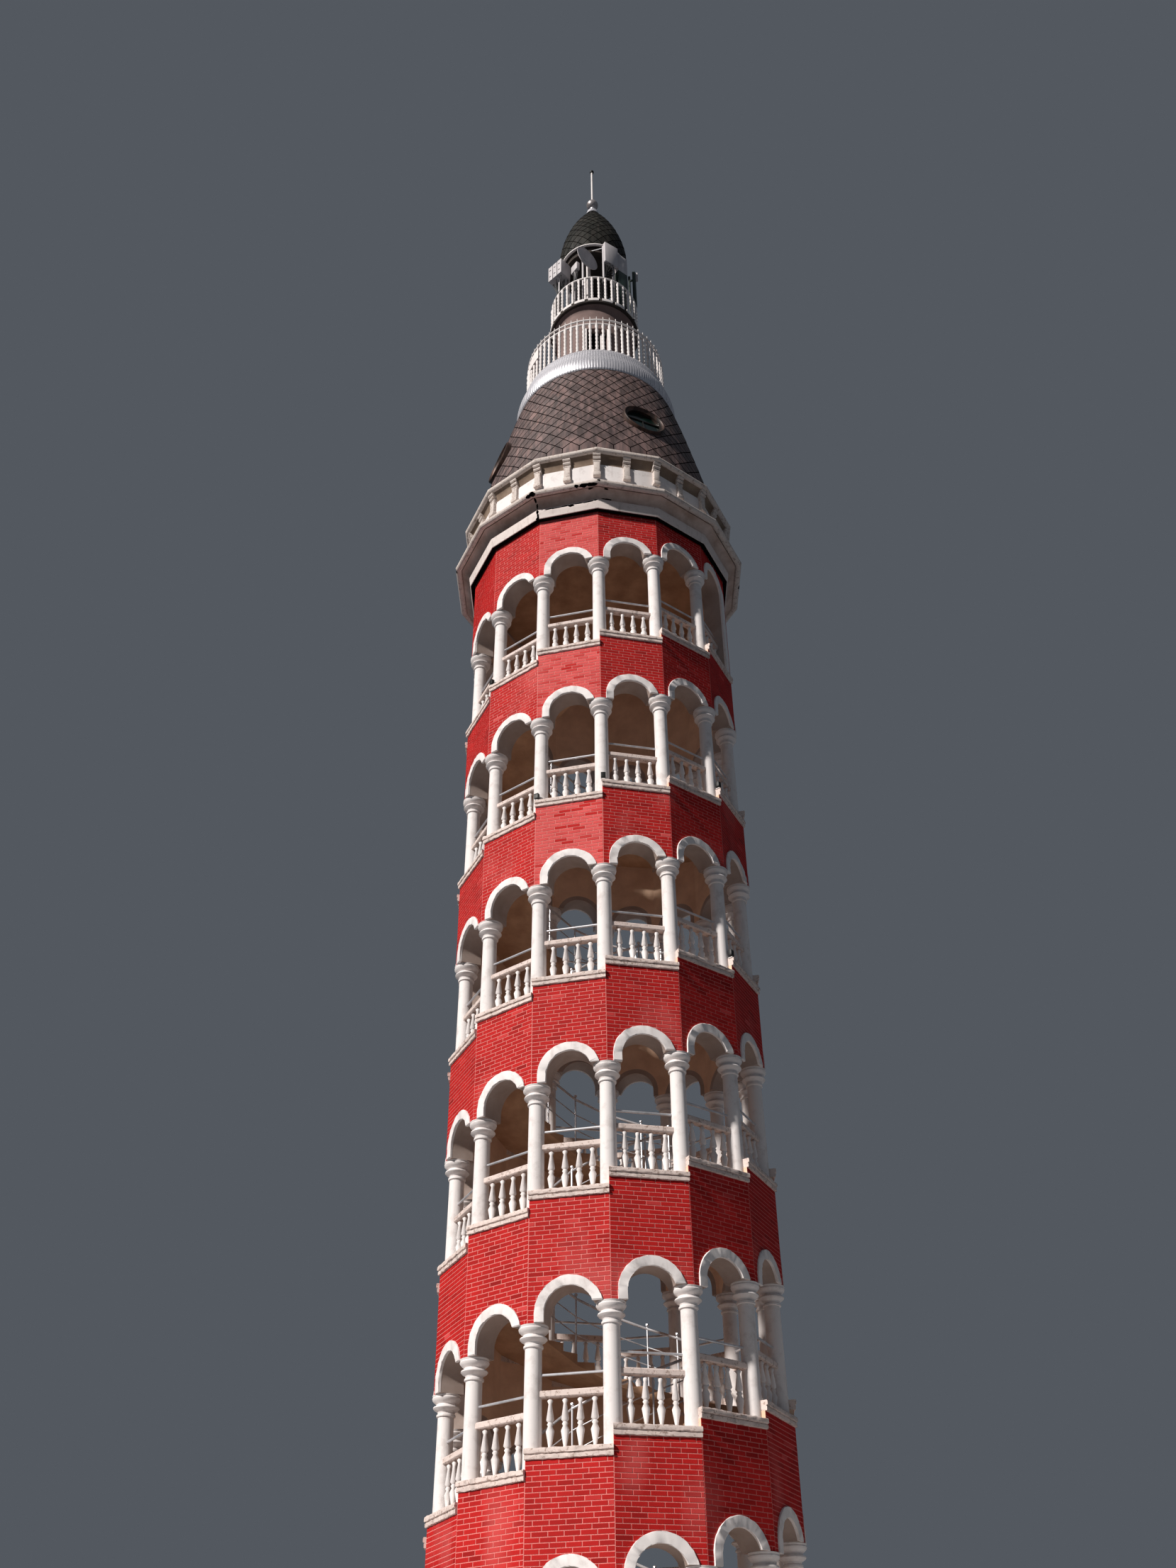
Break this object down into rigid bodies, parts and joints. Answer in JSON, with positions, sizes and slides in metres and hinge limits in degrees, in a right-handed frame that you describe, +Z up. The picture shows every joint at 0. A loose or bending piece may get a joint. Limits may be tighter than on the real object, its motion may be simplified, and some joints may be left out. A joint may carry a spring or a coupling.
{
  "type": "minaret",
  "caption": "Tall brick minaret: an open arcade climbs it as a helix, under a shingled dome, two railed balconies, a lantern and a finial.",
  "frame": {"origin": "centre of the ground slab's underside, on the tower's axis at ground level", "axes": "+Z up along the tower's axis; -Y faces the viewer of the picture, at a corner of the shaft; +X to the viewer's right"},
  "size_m": [6.1322, 6.29, 39.81],
  "materials": {
    "brick": "red brick with pale pink joints",
    "plaster": "white painted render, weathered",
    "soffit": "bare brown render",
    "concrete": "plain concrete",
    "steel": "polished tube",
    "shingle": "diamond metal shingles, grey brown, weathered",
    "copper": "dull copper sheet",
    "sheet": "seamed zinc sheet",
    "aerial": "light grey housing",
    "green_sheet": "dark green painted sheet"
  },
  "bodies": {
    "root": {"ground_slab": "concrete", "ground_wall": "brick", "brick_band_1": "brick", "brick_band_2": "brick", "brick_band_3": "brick", "brick_band_4": "brick", "brick_band_5": "brick", "brick_band_6": "brick", "arcade_1": "plaster", "arcade_2": "plaster", "arcade_3": "plaster", "arcade_4": "plaster", "arcade_5": "plaster", "arcade_6": "plaster", "stair_1": "soffit", "stair_2": "soffit", "stair_3": "soffit", "stair_4": "soffit", "stair_5": "soffit", "stair_6": "soffit", "well_railing_1": "steel", "well_railing_2": "steel", "well_railing_3": "steel", "well_railing_4": "steel", "well_railing_5": "steel", "well_railing_6": "steel", "cornice_cove": "soffit", "lower_roll": "plaster", "frieze": "plaster", "upper_roll": "plaster", "top_ceiling": "soffit", "main_dome": "shingle", "oculus_frame_1": "copper", "oculus_frame_2": "copper", "oculus_frame_3": "copper", "oculus_frame_4": "copper", "metal_roll": "sheet", "lower_balcony_floor": "concrete", "lower_balustrade": "plaster", "drum": "plaster", "upper_balcony_slab": "plaster", "upper_balustrade": "plaster", "lantern_frame": "plaster", "lantern_eave": "plaster", "left_aerial": "aerial", "right_aerial": "aerial", "dish_aerial": "aerial", "junction_box": "aerial", "cabinet": "green_sheet", "cabinet_head": "aerial", "side_aerial": "green_sheet", "side_receiver": "aerial", "small_dome": "shingle", "dome_cap": "sheet", "finial_ball": "steel", "finial_rod": "steel"}
  },
  "joints": []
}
